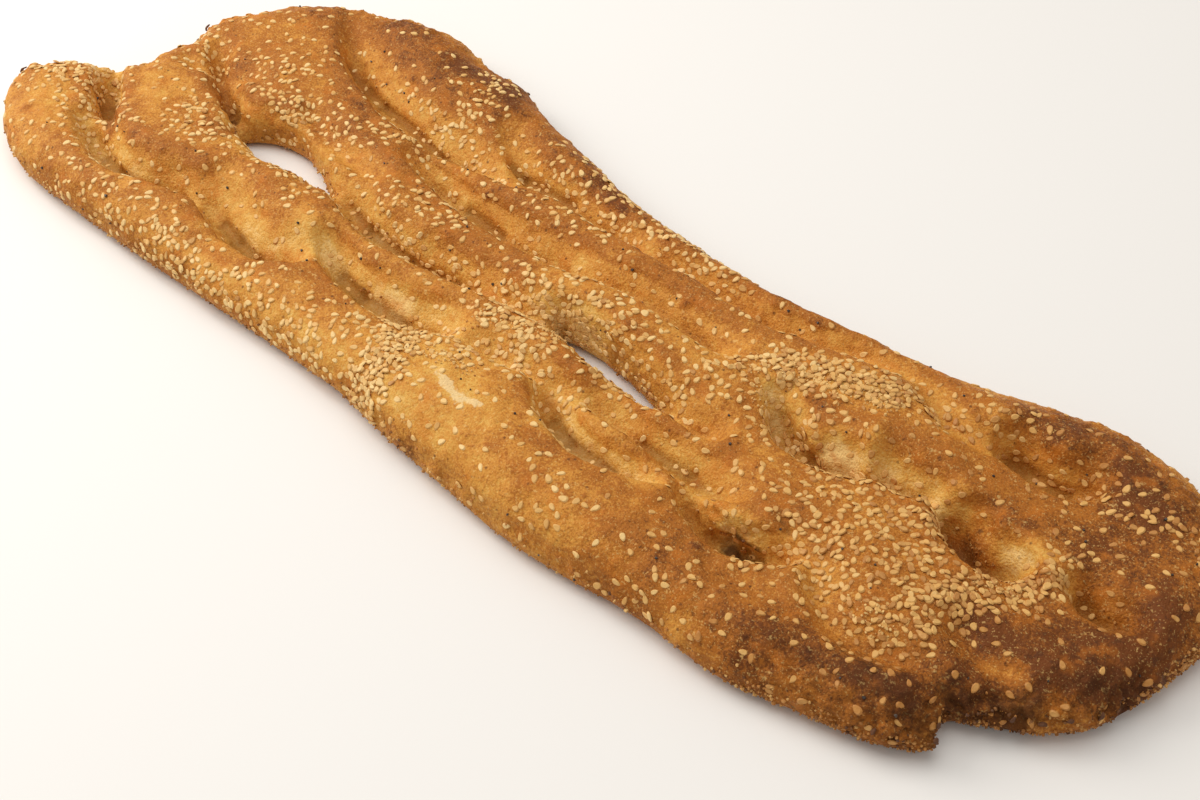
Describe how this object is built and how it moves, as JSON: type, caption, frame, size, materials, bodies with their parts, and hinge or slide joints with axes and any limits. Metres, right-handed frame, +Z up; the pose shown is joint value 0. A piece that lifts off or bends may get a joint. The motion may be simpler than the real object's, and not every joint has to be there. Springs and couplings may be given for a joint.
{
  "type": "barbari bread",
  "caption": "Long flat loaf with lengthwise finger-pressed furrows between rounded ridges, narrow slits right through, a torn notch in its rim and a browned, seeded crust.",
  "frame": {"origin": "under the middle of the loaf, on the surface it lies on", "axes": "+X along the loaf towards the end with the torn notch, +Y across it, +Z up through its thickness"},
  "size_m": [0.5987, 0.2149, 0.028],
  "materials": {
    "crust": "matte"
  },
  "bodies": {
    "root": {"barbari_bread": "crust"}
  },
  "joints": []
}
